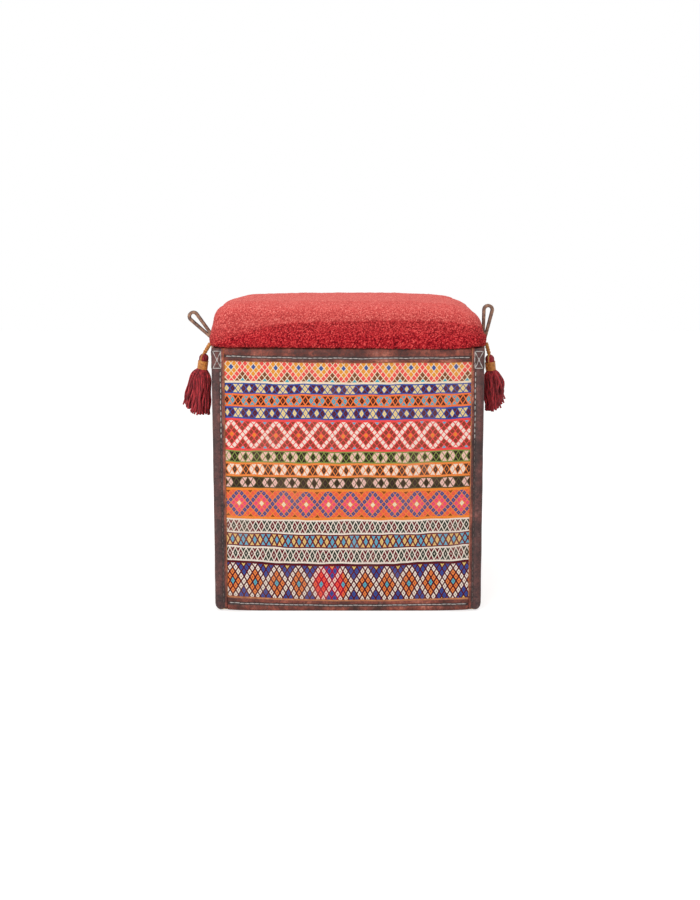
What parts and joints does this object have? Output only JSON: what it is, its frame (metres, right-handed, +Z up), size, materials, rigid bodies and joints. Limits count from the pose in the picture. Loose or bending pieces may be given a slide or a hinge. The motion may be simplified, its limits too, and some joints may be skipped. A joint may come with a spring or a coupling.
{
  "type": "kilim stool",
  "caption": "Cube stool of plywood faced with woven kilim and bound in stitched leather, with a lift-off rug-covered seat, leather loops and tassels.",
  "frame": {"origin": "on the floor, under the middle of the stool", "axes": "+Z up, the front with the tassels faces -Y, +X to the viewer's right"},
  "size_m": [0.4883, 0.407, 0.4623],
  "materials": {
    "plywood": "raw birch plywood",
    "pine": "planed pine batten",
    "wadding": "cotton wadding",
    "kilim": "woven wool kilim with banded diamonds",
    "leather": "worn dark brown leather",
    "cotton": "black cotton base cloth",
    "pile_rug": "short red wool pile",
    "foam": "upholstery foam",
    "screw_steel": "zinc plated steel",
    "gold_cord": "twisted gold yarn",
    "yarn": "dark red wool yarn"
  },
  "bodies": {
    "box": {"wall_front": "plywood", "wall_right": "plywood", "wall_back": "plywood", "wall_left": "plywood", "base_board": "plywood", "corner_post_front_left": "pine", "corner_post_front_right": "pine", "corner_post_back_right": "pine", "corner_post_back_left": "pine", "wadding_front": "wadding", "wadding_right": "wadding", "wadding_back": "wadding", "wadding_left": "wadding", "kilim_front": "kilim", "kilim_right": "kilim", "kilim_back": "kilim", "kilim_left": "kilim", "corner_binding_front_left": "leather", "corner_binding_front_right": "leather", "corner_binding_back_right": "leather", "corner_binding_back_left": "leather", "top_binding_front": "leather", "top_binding_right": "leather", "top_binding_back": "leather", "top_binding_left": "leather", "bottom_binding_front": "leather", "bottom_binding_right": "leather", "bottom_binding_back": "leather", "bottom_binding_left": "leather", "base_cloth": "cotton", "wall_screws": "screw_steel", "base_screws": "screw_steel", "loop_tab_left": "leather", "loop_tab_right": "leather"},
    "seat": {"seat_cover": "pile_rug", "seat_foam": "foam", "seat_board": "plywood", "seat_batten_front": "pine", "seat_batten_right": "pine", "seat_batten_back": "pine", "seat_batten_left": "pine", "batten_screws": "screw_steel"},
    "loop_left": {"loop_left": "leather"},
    "tassel_cord_left": {"tassel_cord_left": "gold_cord"},
    "tassel_left": {"tassel_yarn_left": "yarn", "tassel_winding_left": "gold_cord"},
    "loop_right": {"loop_right": "leather"},
    "tassel_cord_right": {"tassel_cord_right": "gold_cord"},
    "tassel_right": {"tassel_yarn_right": "yarn", "tassel_winding_right": "gold_cord"}
  },
  "joints": [
    {"name": "seat_lift", "type": "slide", "parent": "box", "child": "seat", "axis": [0, 0, 1], "range_m": [0, 0.15]},
    {"name": "loop_left_flop", "type": "hinge", "parent": "box", "child": "loop_left", "pos_m": [-0.204, -0.144, 0.4089], "axis": [0, -1, 0], "range_deg": [-38, 35]},
    {"name": "tassel_left_lift", "type": "hinge", "parent": "box", "child": "tassel_cord_left", "pos_m": [-0.2072, -0.144, 0.397], "axis": [0, 1, 0], "range_deg": [0, 45]},
    {"name": "tassel_left_swing", "type": "hinge", "parent": "tassel_cord_left", "child": "tassel_left", "pos_m": [-0.21591, -0.144, 0.38358], "axis": [1, 0, 0], "range_deg": [-40, 40]},
    {"name": "loop_right_flop", "type": "hinge", "parent": "box", "child": "loop_right", "pos_m": [0.204, -0.144, 0.4089], "axis": [0, 1, 0], "range_deg": [-3.5, 69.5]},
    {"name": "tassel_right_lift", "type": "hinge", "parent": "box", "child": "tassel_cord_right", "pos_m": [0.2072, -0.144, 0.397], "axis": [0, -1, 0], "range_deg": [0, 45]},
    {"name": "tassel_right_swing", "type": "hinge", "parent": "tassel_cord_right", "child": "tassel_right", "pos_m": [0.21214, -0.144, 0.38178], "axis": [1, 0, 0], "range_deg": [-40, 40]}
  ]
}
